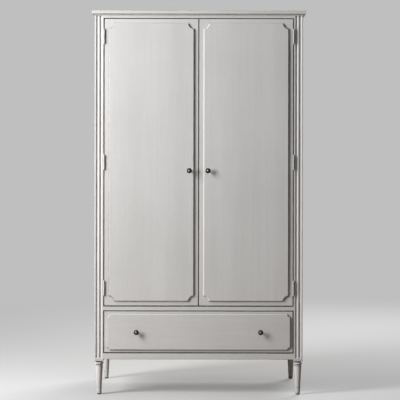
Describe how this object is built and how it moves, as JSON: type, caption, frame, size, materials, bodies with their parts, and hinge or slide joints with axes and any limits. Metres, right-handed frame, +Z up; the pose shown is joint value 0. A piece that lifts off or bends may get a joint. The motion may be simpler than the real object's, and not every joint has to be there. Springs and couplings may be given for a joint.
{
  "type": "wardrobe",
  "caption": "Tall free-standing wardrobe on turned legs: a pair of inset raised-panel doors over one full-width drawer, fluted front posts and a slim cornice.",
  "frame": {"origin": "on the floor, under the middle of the outer box from knob tips to back", "axes": "+Z up, +Y from the front to the back, +X to the right of someone facing the doors"},
  "size_m": [1.104, 0.616, 1.984],
  "materials": {
    "painted_wood": "antique grey paint with brush marks and a darker glaze in the grooves",
    "inside_wood": "clear sealed hardwood",
    "plywood": "clear sealed plywood",
    "knob_bronze": "dark aged bronze",
    "hinge_metal": "painted over with the frame, worn on the knuckles",
    "fastener_steel": "zinc plated",
    "rail_steel": "satin nickel",
    "catch_plastic": "matt brown",
    "glide_plastic": "matt dark nylon"
  },
  "bodies": {
    "carcass": {"cornice_board": "painted_wood", "cornice_moulding": "painted_wood", "top_front_rail": "painted_wood", "mid_front_rail": "painted_wood", "bottom_front_rail": "painted_wood", "front_left_post": "painted_wood", "front_right_post": "painted_wood", "rear_left_post": "painted_wood", "rear_right_post": "painted_wood", "left_side_panel": "painted_wood", "right_side_panel": "painted_wood", "left_side_rails": "painted_wood", "right_side_rails": "painted_wood", "back_panel": "plywood", "back_rails": "inside_wood", "cupboard_floor": "inside_wood", "drawer_runners": "inside_wood", "hat_shelf": "inside_wood", "shelf_cleats": "inside_wood", "hanging_rail": "rail_steel", "rail_sockets": "rail_steel", "door_stop": "painted_wood", "door_catches": "catch_plastic", "front_left_leg": "painted_wood", "front_right_leg": "painted_wood", "rear_left_leg": "painted_wood", "rear_right_leg": "painted_wood", "foot_glides": "glide_plastic", "leg_bolts": "fastener_steel", "frame_hinge_leaves": "hinge_metal", "frame_hinge_screws": "fastener_steel", "hinge_pins": "hinge_metal"},
    "left_door": {"left_door_hinge_stile": "painted_wood", "left_door_lock_stile": "painted_wood", "left_door_top_rail": "painted_wood", "left_door_bottom_rail": "painted_wood", "left_door_core": "painted_wood", "left_door_raised_panel": "painted_wood", "left_door_knob": "knob_bronze", "left_door_hinge_leaves": "hinge_metal", "left_door_hinge_screws": "fastener_steel", "left_door_strike": "fastener_steel"},
    "right_door": {"right_door_hinge_stile": "painted_wood", "right_door_lock_stile": "painted_wood", "right_door_top_rail": "painted_wood", "right_door_bottom_rail": "painted_wood", "right_door_core": "painted_wood", "right_door_raised_panel": "painted_wood", "right_door_knob": "knob_bronze", "right_door_hinge_leaves": "hinge_metal", "right_door_hinge_screws": "fastener_steel", "right_door_strike": "fastener_steel"},
    "drawer": {"drawer_front": "painted_wood", "drawer_raised_panel": "painted_wood", "drawer_left_side": "inside_wood", "drawer_right_side": "inside_wood", "drawer_back": "inside_wood", "drawer_bottom": "plywood", "drawer_knobs": "knob_bronze"}
  },
  "joints": [
    {"name": "left_door_hinge", "type": "hinge", "parent": "carcass", "child": "left_door", "pos_m": [-0.489, -0.276, 1.2015], "axis": [0, 0, -1], "range_deg": [0, 170]},
    {"name": "right_door_hinge", "type": "hinge", "parent": "carcass", "child": "right_door", "pos_m": [0.489, -0.276, 1.2015], "axis": [0, 0, 1], "range_deg": [0, 170]},
    {"name": "drawer_slide", "type": "slide", "parent": "carcass", "child": "drawer", "axis": [0, -1, 0], "range_m": [0, 0.4]}
  ]
}
